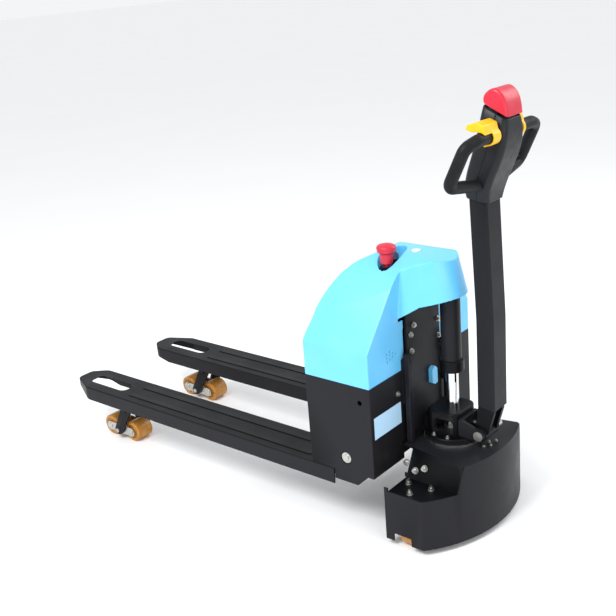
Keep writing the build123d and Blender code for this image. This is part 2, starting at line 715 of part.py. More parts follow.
with BuildPart() as slewing_ring:
    add(disc(0, STEER, 61.9, 244.0, DECK))
    add(disc(0, STEER, 90.0, DECK, 263.0))
    add(disc(0, STEER, 50.0 + FIT, 240.0, 270.0), mode=Mode.SUBTRACT)
slewing_ring.part.label = "slewing_ring"
export_step(slewing_ring.part, "parts/slewing_ring.step")

with BuildPart() as guide_rails:
    for side in (-1, 1):
        edge = side * RAIL_X
        add(slab(edge - 9.0, edge + 9.0, REAR - 29.0, REAR - 11.0, DECK, 540.0))
    fillet(guide_rails.edges().filter_by(Axis.Z), 2.0)
guide_rails.part.label = "guide_rails"
export_step(guide_rails.part, "parts/guide_rails.step")

with BuildPart() as chassis_bolts:
    for side in (-1, 1):
        for y, z, lean in ((-37.0, 213.0, 28.0), (-73.0, 200.0, 22.0), (-104.0, 214.0, 17.0)):
            step = (z - SHELF) / (DECK - SHELF)
            top_x = 127.0 + (-10.0 - y) * (51.0 / 290.0)
            wall_x = 175.0 + (top_x - 175.0) * step
            tilt = math.radians(lean)
            origin = (side * (wall_x + 1.4), REAR + y, z)
            wall_plane = Plane(origin=origin, x_dir=(0, 1, 0),
                z_dir=(side * math.cos(tilt), 0, math.sin(tilt)))
            add(hex_bolt(wall_plane, flats=15.0, head=6.0, stud=7.0))
        for x, y in ((203.0, -72.0), (251.0, -109.0), (199.0, -148.0)):
            add(hex_bolt(Plane((side * x, REAR + y, SHELF)), flats=15.0, head=6.0, stud=8.0))
    for x, y in ((-25.0, -222.0), (-8.0, -236.0), (8.0, -222.0), (25.0, -236.0)):
        add(hex_bolt(Plane((x, REAR + y, DECK)), flats=8.0, head=3.0, stud=1.5))
chassis_bolts.part.label = "chassis_bolts"
export_step(chassis_bolts.part, "parts/chassis_bolts.step")

# ---- castors ----
with BuildPart() as castor_plates:
    for side in (-1, 1):
        x = side * CASTOR[0]
        add(slab(x - 40.0, x + 40.0, CASTOR[1] - 40.0, CASTOR[1] + 40.0, 160.0, SHELF - 6.0))
        add(disc(x, CASTOR[1], 10.0 + FIT, 150.0, 167.0), mode=Mode.SUBTRACT)
castor_plates.part.label = "castor_plates"
export_step(castor_plates.part, "parts/castor_plates.step")

for name, side in SIDES:
    x = side * CASTOR[0]
    axle_x = x + side * CASTOR_TRAIL
    with BuildPart() as castor_fork:
        add(disc(x, CASTOR[1], 10.0, 140.0, 166.5))
        add(disc(x, CASTOR[1], 26.0, 138.0, 159.5))
        for end in (-1, 1):
            inner = CASTOR[1] + end * 22.0
            leg_plane = Plane(origin=(0, inner, 0), x_dir=(1, 0, 0), z_dir=(0, end, 0))
            flip = -end
            with BuildSketch(leg_plane):
                with BuildLine():
                    Polyline(
                        (x - 22.0, flip * 146.0),
                        (x + 22.0, flip * 146.0),
                        (axle_x + 12.0, flip * CASTOR_R),
                        (axle_x - 12.0, flip * CASTOR_R),
                        close=True,
                    )
                make_face()
                with Locations((axle_x, flip * CASTOR_R)):
                    Circle(12.0)
            extrude(amount=4.0)
        add(slab(x - 22.0, x + 22.0, CASTOR[1] - 26.0, CASTOR[1] + 26.0, 140.0, 146.0))
        with BuildSketch(Plane(origin=(0, CASTOR[1] - 28.0, 0), x_dir=(1, 0, 0), z_dir=(0, 1, 0))):
            with Locations((axle_x, -CASTOR_R)):
                Circle(6.0)
        extrude(amount=56.0)
    castor_fork.part.label = f"castor_fork_{name}"
    export_step(castor_fork.part, f"parts/castor_fork_{name}.step")

    with BuildPart() as castor_wheel:
        with BuildSketch(Plane(origin=(0, CASTOR[1] - 20.0, 0), x_dir=(1, 0, 0), z_dir=(0, 1, 0))):
            with Locations((axle_x, -CASTOR_R)):
                Circle(CASTOR_R)
        extrude(amount=40.0)
        fillet(castor_wheel.edges().filter_by(GeomType.CIRCLE), 5.0)
        with BuildSketch(Plane(origin=(0, CASTOR[1] - 21.0, 0), x_dir=(1, 0, 0), z_dir=(0, 1, 0))):
            with Locations((axle_x, -CASTOR_R)):
                Circle(6.0 + FIT)
        extrude(amount=42.0, mode=Mode.SUBTRACT)
    castor_wheel.part.label = f"castor_wheel_{name}"
    export_step(castor_wheel.part, f"parts/castor_wheel_{name}.step")

# ---- steering yoke and drive unit ----
with BuildPart() as steer_yoke:
    add(disc(0, STEER, 88.0, 264.5, 280.0))
    fillet(steer_yoke.edges().group_by(Axis.Z)[-1], 5.0)
    with BuildSketch(Plane.XY.offset(280.0)):
        with Locations((0, STEER + 8.0)):
            RectangleRounded(124.0, 108.0, 26.0)
    extrude(amount=YOKE_TOP - 280.0)
    fillet(steer_yoke.edges().group_by(Axis.Z)[-1], 6.0)
    # inside and side windows
    add(slab(-49.0, 49.0, STEER - 30.0, STEER + 46.0, 286.0, 332.0), mode=Mode.SUBTRACT)
    with BuildSketch(Plane.YZ.offset(-90.0)):
        with Locations((STEER - 2.0, 309.0)):
            RectangleRounded(64.0, 44.0, 12.0)
    extrude(amount=180.0, mode=Mode.SUBTRACT)
    # gussets toward the box
    for x in (-54.0, 42.0):
        add(prism_x([(STEER + 50.0, 279.0), (STEER + 62.0, 340.0), (STEER + 70.0, 279.0)], x, x + 12.0))
    add(disc(0, STEER, 18.0, 260.0, 290.0), mode=Mode.SUBTRACT)
steer_yoke.part.label = "steer_yoke"
export_step(steer_yoke.part, "parts/steer_yoke.step")

with BuildPart() as spindle:
    add(disc(0, STEER, 50.0, 222.0, 263.0))
    add(disc(0, STEER, 18.0, 263.0, 312.0))
spindle.part.label = "spindle"
export_step(spindle.part, "parts/spindle.step")

with BuildPart() as spindle_nut:
    add(disc(0, STEER, 29.0, 286.5, 292.0))
    with BuildSketch(Plane.XY.offset(292.0)):
        with Locations((0, STEER)):
            RegularPolygon(24.0, 6, major_radius=False)
    extrude(amount=16.0)
    add(disc(0, STEER, 18.0, 280.0, 320.0), mode=Mode.SUBTRACT)
spindle_nut.part.label = "spindle_nut"
export_step(spindle_nut.part, "parts/spindle_nut.step")

with BuildPart() as yoke_bolts:
    for angle in (18.0, 162.0, 198.0, 342.0):
        x = 76.0 * math.cos(math.radians(angle))
        y = STEER + 76.0 * math.sin(math.radians(angle))
        add(hex_bolt(Plane((x, y, 280.0)), flats=12.0, head=5.0, stud=3.0))
    for x, z in ((-26.0, 300.0), (26.0, 300.0)):
        back_plane = Plane(origin=(x, REAR - 163.0, z), x_dir=(1, 0, 0), z_dir=(0, -1, 0))
        add(hex_bolt(back_plane, flats=13.0, head=5.0, stud=0.6))
yoke_bolts.part.label = "yoke_bolts"
export_step(yoke_bolts.part, "parts/yoke_bolts.step")

with BuildPart() as drive_housing:
    add(disc(0, STEER, 58.0, 206.0, 222.0))
    add(slab(-54.0, 60.0, STEER - 34.0, STEER + 34.0, 206.0, 218.0))
    # left arm and the gear case on the right
    with BuildSketch(Plane.YZ.offset(-54.0)):
        with Locations((STEER, 154.0)):
            Rectangle(60.0, 108.0)
        with Locations((STEER, DRIVE_R)):
            Circle(30.0)
    extrude(amount=12.0)
    with BuildSketch(Plane.YZ.offset(42.0)):
        with Locations((STEER, 150.0)):
            Rectangle(76.0, 120.0)
        with Locations((STEER, DRIVE_R)):
            Circle(46.0)
    extrude(amount=18.0)
    add(rod_x(STEER, DRIVE_R, 14.0, -54.0, 42.0))
drive_housing.part.label = "drive_housing"
export_step(drive_housing.part, "parts/drive_housing.step")

with BuildPart() as drive_motor:
    add(rod_x(STEER, DRIVE_R, 44.0, 60.0, 98.0))
    add(rod_x(STEER, DRIVE_R, 34.0, 98.0, 104.0))
    for fin in range(4):
        add(rod_x(STEER, DRIVE_R, 47.0, 64.0 + 9.0 * fin, 68.0 + 9.0 * fin))
drive_motor.part.label = "drive_motor"
export_step(drive_motor.part, "parts/drive_motor.step")

# polyurethane tyre moulded on its hub
with BuildPart() as drive_wheel:
    add(rod_x(STEER, DRIVE_R, DRIVE_R, -35.0, 35.0))
    chamfer(drive_wheel.edges().filter_by(GeomType.CIRCLE), 4.0)
    for end in (-1, 1):
        with BuildSketch(Plane.YZ.offset(end * 35.0)):
            with Locations((STEER, DRIVE_R)):
                Circle(66.0)
                Circle(30.0, mode=Mode.SUBTRACT)
        extrude(amount=-end * 20.0, mode=Mode.SUBTRACT)
    add(rod_x(STEER, DRIVE_R, 14.0 + FIT, -40.0, 40.0), mode=Mode.SUBTRACT)
drive_wheel.part.label = "drive_wheel"
export_step(drive_wheel.part, "parts/drive_wheel.step")

# ---- tiller ----
BRACKET_X = 37.0
with BuildPart() as tiller_bracket:
    add(slab(-BRACKET_X - 10.0, BRACKET_X + 10.0, REAR - 163.0, REAR - 151.0, 282.0, 334.0))
    for side in (-1, 1):
        inner = side * BRACKET_X
        outer = side * (BRACKET_X + 10.0)
        with BuildSketch(Plane.YZ.offset(min(inner, outer))):
            with BuildSketch(mode=Mode.PRIVATE) as cheek:
                with Locations(TILT):
                    Circle(17.5)
                with Locations((REAR - 157.0, 308.0)):
                    Rectangle(12.0, 52.0)
            make_hull(cheek.sketch.edges())
        extrude(amount=10.0)
    add(rod_x(*TILT, 10.0, -60.0, 60.0), mode=Mode.SUBTRACT)
tiller_bracket.part.label = "tiller_bracket"
export_step(tiller_bracket.part, "parts/tiller_bracket.step")

with BuildPart() as tiller_pin:
    add(rod_x(*TILT, 10.0, -BRACKET_X - 14.0, BRACKET_X + 12.0))
    add(rod_x(*TILT, 15.0, -BRACKET_X - 14.0, -BRACKET_X - 10.0))
    add(rod_x(*TILT, 15.0, BRACKET_X + 10.0, BRACKET_X + 32.0))
tiller_pin.part.label = "tiller_pin"
export_step(tiller_pin.part, "parts/tiller_pin.step")

COLUMN_X = 38.5
COLUMN_TOP = 1040.0
COLUMN_BEND = 660.0
COLUMN_LEAN = 15.0 / 380.0          # forward lean above the bend
COLUMN_Y = (REAR - 212.0, REAR - 268.0)   # front and back face below the bend
COLUMN_FRONT = [(COLUMN_Y[0], 392.0), (COLUMN_Y[0], COLUMN_BEND), (COLUMN_Y[0] + 15.0, COLUMN_TOP)]
COLUMN_BACK = [(COLUMN_Y[1] + 15.0, COLUMN_TOP), (COLUMN_Y[1], COLUMN_BEND), (COLUMN_Y[1], 384.0)]

with BuildPart() as tiller_column:
    add(prism_x(COLUMN_FRONT + COLUMN_BACK, -COLUMN_X, COLUMN_X))
    fillet(tiller_column.edges().filter_by(lambda e: abs(abs(e.center().X) - COLUMN_X) < 0.5 and e.length > 100), 6.0)
    core_front = [(y - 4.0, z - 30.0 if z < 400.0 else z) for y, z in COLUMN_FRONT]
    core_back = [(y + 4.0, z - 30.0 if z < 400.0 else z) for y, z in COLUMN_BACK]
    add(prism_x(core_front + core_back, -COLUMN_X + 4.0, COLUMN_X - 4.0), mode=Mode.SUBTRACT)
    # foot: boss on the pivot pin, webs up into the column
    foot = [(REAR - 198.0, 292.0), (REAR - 215.0, 420.0), (REAR - 262.0, 420.0), (REAR - 262.0, 372.0)]
    foot += [(REAR - 240.0, 300.0), (REAR - 218.0, 276.0)]
    for side in (-1, 1):
        inner = side * 19.0
        outer = side * 31.0
        add(prism_x(foot, min(inner, outer), max(inner, outer)))
    add(rod_x(*TILT, 22.0, -36.0, 36.0))
    add(rod_x(*TILT, 10.0 + FIT, -60.0, 60.0), mode=Mode.SUBTRACT)
tiller_column.part.label = "tiller_column"
export_step(tiller_column.part, "parts/tiller_column.step")


# ---- tiller head ----
def head_plane(y_front, y_back, z_front, z_back):
    """Plane across the head, leaning back with it."""
    run = y_back - y_front
    rise = z_back - z_front
    depth = math.hypot(run, rise)
    centre = (0, REAR + (y_front + y_back) / 2, (z_front + z_back) / 2)
    return Plane(origin=centre, x_dir=(1, 0, 0), z_dir=(0, rise / depth, -run / depth))


# each section: front y, back y, front z, back z, half width, corner radius
HEAD_SECTIONS = [
    (-190.0, -262.0, 1010.0, 1000.0, 44.0, 14.0),
    (-196.0, -274.0, 1070.0, 1050.0, 56.0, 16.0),
    (-222.0, -304.0, 1150.0, 1118.0, 58.0, 18.0),
    (-240.0, -320.0, 1218.0, 1178.0, 56.0, 18.0),
    (-247.0, -319.0, 1262.0, 1227.0, 44.0, 16.0),
]


def column_end(z_from, z_to):
    """Outline of the column's upper end between two heights, with a hair of clearance."""
    front = [(COLUMN_Y[0] + COLUMN_LEAN * (z - COLUMN_BEND) + 0.1, z) for z in (z_from, z_to)]
    back = [(COLUMN_Y[1] + COLUMN_LEAN * (z - COLUMN_BEND) - 0.1, z) for z in (z_to, z_from)]
    return front + back


def head_form(inset):
    """Lofted outer shape of the head, or its cavity when inset is the wall."""
    with BuildPart() as form:
        for y_front, y_back, z_front, z_back, half, radius in HEAD_SECTIONS:
            depth = math.hypot(y_back - y_front, z_back - z_front)
            with BuildSketch(head_plane(y_front, y_back, z_front, z_back)):
                RectangleRounded(2 * (half - inset), depth - 2 * inset, radius - inset)
        loft()
    return form.part


HEAD_SPLIT = [(-226.0, 985.0), (-236.0, 1060.0), (-264.0, 1135.0), (-284.0, 1205.0), (-300.0, 1300.0)]
GRIP_Y = REAR - 292.0               # upper bar of the hand loops, also the throttle's axis
GRIP_Z = 1190.0
GRIP_R = 17.0
FACE_Y, FACE_Z = 0.967, 0.256        # outward direction of the face that carries the buttons
BUTTONS = (("lift_button", -24.0, 1192.0), ("lower_button", 24.0, 1192.0), ("horn_button", 0.0, 1160.0))


def button_plane(x, z):
    """Plane on the head's button face at height z."""
    y = REAR - 222.0 - (z - 1150.0) * 18.0 / 68.0
    return Plane(origin=(x, y, z), x_dir=(1, 0, 0), z_dir=(0, FACE_Y, FACE_Z))


CAP_PLANE = head_plane(-248.0, -320.0, 1264.0, 1229.0)
front_region = [(REAR + y, z) for y, z in HEAD_SPLIT] + [(REAR - 120.0, 1300.0), (REAR - 120.0, 985.0)]
rear_region = [(REAR + y, z) for y, z in HEAD_SPLIT] + [(REAR - 420.0, 1300.0), (REAR - 420.0, 985.0)]

for name, region in (("front", front_region), ("rear", rear_region)):
    with BuildPart() as shell:
        add(head_form(0.0))
        add(head_form(4.0), mode=Mode.SUBTRACT)
        # solid collar round the column and closed top
        add(slab(-52.0, 52.0, REAR - 262.0, REAR - 200.0, 1016.0, 1040.0))
        with BuildSketch(CAP_PLANE.offset(-16.0)):
            RectangleRounded(104.0, 74.0, 14.0)
        extrude(amount=8.0)
        add(head_form(0.0), mode=Mode.INTERSECT)
        add(prism_x(region, -120.0, 120.0), mode=Mode.INTERSECT)
        add(
            prism_x(column_end(980.0, COLUMN_TOP + 1.0), -COLUMN_X - 0.1, COLUMN_X + 0.1),
            mode=Mode.SUBTRACT,
        )
        # bore for the cap's stem
        with BuildSketch(CAP_PLANE.offset(-60.0)):
            Circle(9.0 + FIT)
        extrude(amount=80.0, mode=Mode.SUBTRACT)
        for button, x, z in BUTTONS:
            with BuildSketch(button_plane(x, z).offset(-12.0)):
                Circle(9.0 + FIT)
            extrude(amount=30.0, mode=Mode.SUBTRACT)
    shell.part.label = f"head_shell_{name}"
    export_step(shell.part, f"parts/head_shell_{name}.step")

# hand loops: one bent bar each, straight along X where the throttle wing turns on it
for name, side in SIDES:
    with BuildPart() as grip:
        with BuildLine() as path:
            FilletPolyline(
                (side * 61.5, GRIP_Y, GRIP_Z),
                (side * 142.0, GRIP_Y, GRIP_Z),
                (side * 187.0, REAR - 281.0, 1177.0),
                (side * 189.0, REAR - 230.0, 1072.0),
                (side * 61.5, REAR - 238.0, 1052.0),
                radius=(30.0, 24.0, 24.0),
            )
        with BuildSketch(path.line ^ 0):
            Circle(GRIP_R)
        sweep()
    grip.part.label = f"grip_{name}"
    export_step(grip.part, f"parts/grip_{name}.step")

# throttle wings turning on the upper bars of the loops: a lobe below and a wing above
WING_LOBE = [(-16.0, 8.0), (20.0, 14.0), (22.0, -16.0), (8.0, -26.0), (-12.0, -20.0)]
WING_BLADE = [(-16.0, 12.0), (-10.0, 36.0), (10.0, 44.0), (38.0, 36.0), (42.0, 24.0), (24.0, 18.0),
    (8.0, 20.0)]
WING_REACH = {-1: (96.0, 132.0), 1: (72.0, 76.0)}
with BuildPart() as throttle_wings:
    for side, (lobe_x, blade_x) in WING_REACH.items():
        for outline, far_x in ((WING_LOBE, lobe_x), (WING_BLADE, blade_x)):
            points = [(GRIP_Y + y, GRIP_Z + z) for y, z in outline]
            add(prism_x(points, *sorted((side * 60.5, side * far_x))))
        add(rod_x(GRIP_Y, GRIP_Z, 23.0, *sorted((side * 60.5, side * lobe_x))))
        add(rod_x(GRIP_Y, GRIP_Z, GRIP_R + 1.0, *sorted((side * 40.0, side * 140.0))), mode=Mode.SUBTRACT)
throttle_wings.part.label = "throttle_wings"
export_step(throttle_wings.part, "parts/throttle_wings.step")

# belly button: domed cap over the head's top end on a short stem
CAP_LOW = [CAP_PLANE.offset(5.5).from_local_coords((0, along, 0)) for along in (40.0, -40.0)]
CAP_CROWN = [(-251.0, 1285.0), (-263.0, 1299.0), (-285.0, 1306.0), (-305.0, 1294.0), (-318.0, 1266.0)]
CAP_X = 44.0
with BuildPart() as belly_button:
    with BuildSketch(Plane.YZ.offset(-CAP_X)):
        with BuildLine():
            ends = [(corner.Y, corner.Z) for corner in CAP_LOW]
            Spline(ends[0], *[(REAR + y, z) for y, z in CAP_CROWN], ends[1])
            Line(ends[1], ends[0])
        make_face()
    extrude(amount=2 * CAP_X)
    fillet(belly_button.edges().filter_by(lambda e: abs(e.center().X) > CAP_X - 0.5 and e.length > 90.0), 9.0)
    with BuildSketch(CAP_PLANE.offset(-40.0)):
        Circle(9.0)
    extrude(amount=50.0)
belly_button.part.label = "belly_button"
export_step(belly_button.part, "parts/belly_button.step")

for name, x, z in BUTTONS:
    with BuildPart() as button:
        with BuildSketch(button_plane(x, z).offset(-8.0)):
            Circle(9.0)
        extrude(amount=12.0)
        fillet(button.edges().filter_by(GeomType.CIRCLE).sort_by(Axis.Y)[-1], 1.5)
    button.part.label = name
    export_step(button.part, f"parts/{name}.step")
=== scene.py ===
"""Looks of the electric pallet jack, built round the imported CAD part. Metres, +Y along the forks."""

import json
import math

import bmesh
import bpy
from mathutils import Matrix, Vector


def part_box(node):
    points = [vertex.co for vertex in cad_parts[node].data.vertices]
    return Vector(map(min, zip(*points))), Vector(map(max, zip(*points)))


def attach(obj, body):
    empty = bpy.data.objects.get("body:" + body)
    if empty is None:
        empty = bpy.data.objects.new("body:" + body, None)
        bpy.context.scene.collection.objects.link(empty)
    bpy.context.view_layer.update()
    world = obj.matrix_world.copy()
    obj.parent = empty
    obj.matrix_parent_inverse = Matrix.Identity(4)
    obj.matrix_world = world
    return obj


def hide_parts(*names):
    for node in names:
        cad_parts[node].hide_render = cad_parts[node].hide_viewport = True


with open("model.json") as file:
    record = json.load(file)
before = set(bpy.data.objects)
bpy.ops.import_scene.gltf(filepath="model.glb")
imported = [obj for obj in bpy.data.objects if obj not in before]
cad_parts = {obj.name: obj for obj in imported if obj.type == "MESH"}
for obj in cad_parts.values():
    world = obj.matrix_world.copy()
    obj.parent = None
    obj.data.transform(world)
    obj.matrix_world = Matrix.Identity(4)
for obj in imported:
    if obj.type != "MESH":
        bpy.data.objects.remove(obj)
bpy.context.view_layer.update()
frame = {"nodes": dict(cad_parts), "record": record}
nodes = frame["nodes"]

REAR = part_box("battery_box")[0].y      # rear face of the battery box, the side the tiller is on
MM = 0.001


# ---- shader helpers ----
class Shader:
    """One node material: a Principled surface with helpers that add nodes and links."""

    def __init__(self, name, roughness, metallic=0.0, coat=0.0, specular=0.5):
        self.material = bpy.data.materials.new(name)
        self.material.use_nodes = True
        self.nodes = self.material.node_tree.nodes
        self.links = self.material.node_tree.links
        self.surface = self.nodes["Principled BSDF"]
        self.surface.inputs["Roughness"].default_value = roughness
        self.surface.inputs["Metallic"].default_value = metallic
        self.surface.inputs["Coat Weight"].default_value = coat
        self.surface.inputs["Specular IOR Level"].default_value = specular
        self.place = self.nodes.new("ShaderNodeTexCoord").outputs["Object"]

    def node(self, kind, **values):
        made = self.nodes.new(kind)
        for key, value in values.items():
            setattr(made, key, value)
        return made

    def noise(self, scale, detail=4.0, rough=0.55, stretch=None):
        """Noise in metres: scale is features per metre; stretch squeezes it along the axes."""
        made = self.node("ShaderNodeTexNoise")
        made.inputs["Scale"].default_value = scale
        made.inputs["Detail"].default_value = detail
        made.inputs["Roughness"].default_value = rough
        place = self.place
        if stretch:
            mapping = self.node("ShaderNodeMapping")
            mapping.inputs["Scale"].default_value = stretch
            self.links.new(place, mapping.inputs["Vector"])
            place = mapping.outputs["Vector"]
        self.links.new(place, made.inputs["Vector"])
        return made.outputs["Fac"]

    def ramp(self, source, stops):
        """Colour or grey stops (position, value) over a factor."""
        made = self.node("ShaderNodeValToRGB")
        for place, value in stops[2:]:
            made.color_ramp.elements.new(place)
        for element, (place, value) in zip(made.color_ramp.elements, stops):
            element.position = place
            element.color = value if isinstance(value, tuple) else (value, value, value, 1.0)
        self.links.new(source, made.inputs["Fac"])
        return made.outputs["Color"]

    def mix(self, factor, first, second):
        """Colour mix; factor, first and second are sockets or plain colours."""
        made = self.node("ShaderNodeMix", data_type="RGBA")
        for slot, value in ((0, factor), (6, first), (7, second)):
            if isinstance(value, bpy.types.NodeSocket):
                self.links.new(value, made.inputs[slot])
            else:
                made.inputs[slot].default_value = value
        return made.outputs[2]

    def worn_edges(self, low=0.52, high=0.60):
        """1 on convex edges, 0 elsewhere."""
        geometry = self.node("ShaderNodeNewGeometry")
        return self.ramp(geometry.outputs["Pointiness"], [(low, 0.0), (high, 1.0)])

    def bump(self, *layers):
        """Height layers as (socket, strength, distance), stacked in order."""
        normal = None
        for height, strength, distance in layers:
            made = self.node("ShaderNodeBump")
            made.inputs["Strength"].default_value = strength
            made.inputs["Distance"].default_value = distance
            self.links.new(height, made.inputs["Height"])
            if normal:
                self.links.new(normal, made.inputs["Normal"])
            normal = made.outputs["Normal"]
        self.links.new(normal, self.surface.inputs["Normal"])

    def set(self, name, source):
        self.links.new(source, self.surface.inputs[name])


def rgb(red, green, blue):
    return (red, green, blue, 1.0)


def coated_steel():
    """Black powder coat: fine orange peel, faint dust and slightly worn edges."""
    paint = Shader("black_powder_coat", 0.36, specular=0.13)
    clouds = paint.noise(9.0, 5.0)
    base = paint.ramp(clouds, [(0.35, rgb(0.0026, 0.0028, 0.0038)), (0.7, rgb(0.0042, 0.0045, 0.0058))])
    worn = paint.mix(paint.worn_edges(), base, rgb(0.014, 0.014, 0.017))
    paint.set("Base Color", worn)
    paint.set("Roughness", paint.ramp(clouds, [(0.3, 0.34), (0.75, 0.5)]))
    paint.bump((paint.noise(420.0, 2.0), 0.10, 0.0006), (paint.noise(40.0, 2.0), 0.05, 0.002))
    return paint.material


def blue_plastic():
    """Sky-blue moulded cover with a fine satin grain and slight mottling."""
    blue = Shader("blue_moulding", 0.38, coat=0.15, specular=0.5)
    clouds = blue.noise(7.0, 4.0)
    base = blue.ramp(clouds, [(0.3, rgb(0.125, 0.53, 0.90)), (0.7, rgb(0.150, 0.57, 0.94))])
    blue.set("Base Color", base)
    blue.set("Roughness", blue.ramp(blue.noise(24.0, 3.0), [(0.3, 0.33), (0.7, 0.44)]))
    blue.bump((blue.noise(900.0, 2.0), 0.06, 0.0004), (blue.noise(12.0, 2.0), 0.06, 0.004))
    return blue.material


def grained_plastic(name, dark, light, roughness=0.5, grain=1400.0, strength=0.12, shine=0.45):
    """Moulded plastic with a leather-like grain."""
    plastic = Shader(name, roughness, specular=shine)
    base = plastic.ramp(plastic.noise(30.0, 4.0), [(0.3, dark), (0.7, light)])
    plastic.set("Base Color", plastic.mix(plastic.worn_edges(0.53, 0.66), base, tuple(1.6 * c for c in light[:3]) + (1.0,)))
    cells = plastic.node("ShaderNodeTexVoronoi")
    cells.inputs["Scale"].default_value = grain
    plastic.links.new(plastic.place, cells.inputs["Vector"])
    plastic.bump((cells.outputs["Distance"], strength, 0.0003))
    plastic.set("Roughness", plastic.ramp(plastic.noise(50.0, 3.0), [(0.3, roughness - 0.07), (0.7, roughness + 0.07)]))
    return plastic.material


def metal(name, dark, light, roughness, brushed=None, coat=0.0):
    """Bare or plated metal; brushed gives the direction of its fine lines."""
    steel = Shader(name, roughness, metallic=1.0, coat=coat)
    clouds = steel.noise(60.0, 5.0)
    steel.set("Base Color", steel.ramp(clouds, [(0.3, dark), (0.7, light)]))
    steel.set("Roughness", steel.ramp(clouds, [(0.25, roughness * 0.8), (0.75, roughness * 1.25)]))
    fine = steel.noise(260.0, 3.0, stretch=brushed or (1.0, 1.0, 1.0))
    steel.bump((fine, 0.10, 0.0004))
    return steel.material


def polyurethane(name, dark, light):
    """Cast amber tread, mottled and slightly translucent."""
    tread = Shader(name, 0.4, coat=0.1)
    base = tread.ramp(tread.noise(35.0, 5.0), [(0.3, dark), (0.72, light)])
    tread.set("Base Color", base)
    tread.surface.inputs["Subsurface Weight"].default_value = 0.08
    tread.surface.inputs["Subsurface Radius"].default_value = (0.006, 0.003, 0.001)
    tread.bump((tread.noise(300.0, 3.0), 0.12, 0.0005))
    return tread.material


PAINT = coated_steel()
BLUE = blue_plastic()
BLACK = grained_plastic("black_plastic", rgb(0.006, 0.007, 0.009), rgb(0.010, 0.011, 0.014), 0.46, shine=0.22)
HEAD = grained_plastic("head_plastic", rgb(0.007, 0.008, 0.010), rgb(0.012, 0.013, 0.016), 0.42, 900.0, shine=0.25)
RUBBER = grained_plastic("grip_rubber", rgb(0.004, 0.0045, 0.006), rgb(0.008, 0.009, 0.011), 0.55, 700.0, 0.2, shine=0.2)
RED = grained_plastic("red_plastic", rgb(0.50, 0.012, 0.032), rgb(0.60, 0.018, 0.045), 0.36, 1600.0, 0.05)
YELLOW = grained_plastic("yellow_plastic", rgb(0.86, 0.46, 0.003), rgb(0.92, 0.52, 0.006), 0.36, 1600.0, 0.05)
AMBER = polyurethane("amber_polyurethane", rgb(0.36, 0.14, 0.012), rgb(0.52, 0.23, 0.025))
RING = polyurethane("pale_polyurethane", rgb(0.42, 0.22, 0.03), rgb(0.60, 0.36, 0.06))
ZINC = metal("zinc_plate", rgb(0.42, 0.42, 0.40), rgb(0.60, 0.59, 0.56), 0.34)
CHROME = metal("hard_chrome", rgb(0.70, 0.71, 0.73), rgb(0.78, 0.79, 0.80), 0.08)
LABEL = grained_plastic("plate_face", rgb(0.20, 0.36, 0.50), rgb(0.30, 0.46, 0.60), 0.4, 2000.0, 0.02)
WHITE = grained_plastic("pale_plastic", rgb(0.62, 0.64, 0.66), rgb(0.72, 0.74, 0.76), 0.4, 2000.0, 0.02)

FINISHES = {
    PAINT: "skirt deck_housing battery_box fork_left fork_right mast_plate arm_shafts castor_plates torsion_shaft "
    "load_arm_left load_arm_right tiller_column tiller_bracket drive_housing cylinder_tube cylinder_gland steer_yoke "
    "guide_rails",
    BLUE: "cover battery_plug",
    BLACK: "key_panel power_pack controller battery drive_motor guide_shoes lift_button lower_button horn_button",
    HEAD: "head_shell_front head_shell_rear",
    RUBBER: "grip_left grip_right",
    RED: "belly_button stop_button",
    YELLOW: "throttle_wings",
    AMBER: "load_roller_front_left load_roller_front_right load_roller_rear_left load_roller_rear_right "
    "castor_wheel_left castor_wheel_right drive_wheel",
    ZINC: "bogie_left bogie_right yoke_bolts chassis_bolts frame_bolts slewing_ring spindle spindle_nut tiller_pin "
    "castor_fork_left castor_fork_right push_rod_left push_rod_right key",
    CHROME: "piston_rod",
    LABEL: "data_plate",
    WHITE: "battery_gauge",
}


def dress(obj, material):
    obj.data.materials.clear()
    obj.data.materials.append(material)


for material, names in FINISHES.items():
    for name in names.split():
        for index in range(len(nodes[name].material_slots)):
            nodes[name].material_slots[index].material = material


# ---- pieces that replace plain CAD solids ----
def new_piece(name, mesh, node, materials):
    """Puts a mesh in the scene in place of a CAD node, riding on that node's body."""
    made = bpy.data.objects.new(name, mesh)
    bpy.context.scene.collection.objects.link(made)
    made.data.materials.clear()
    for material in materials:
        made.data.materials.append(material)
    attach(made, BODY_OF[node])
    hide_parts(node)
    return made


BODY_OF = {node: body for body, members in frame["record"]["behaviour"]["bodies"].items() for node in members}


def soft_copy(node, voxel, rounds, strength=0.5):
    """Mesh of a CAD node rebuilt as one even skin with its creases rounded off."""
    mesh = nodes[node].data.copy()
    work = bmesh.new()
    work.from_mesh(mesh)
    bmesh.ops.remove_doubles(work, verts=work.verts, dist=1e-5)
    work.to_mesh(mesh)
    work.free()
    holder = bpy.data.objects.new("work", mesh)
    bpy.context.scene.collection.objects.link(holder)
    remesh = holder.modifiers.new("skin", "REMESH")
    remesh.mode = "VOXEL"
    remesh.voxel_size = voxel
    smooth = holder.modifiers.new("ease", "SMOOTH")
    smooth.factor = strength
    smooth.iterations = rounds
    bpy.context.view_layer.update()
    eased = bpy.data.meshes.new_from_object(holder.evaluated_get(bpy.context.evaluated_depsgraph_get()))
    bpy.data.objects.remove(holder)
    eased.shade_smooth()
    return eased


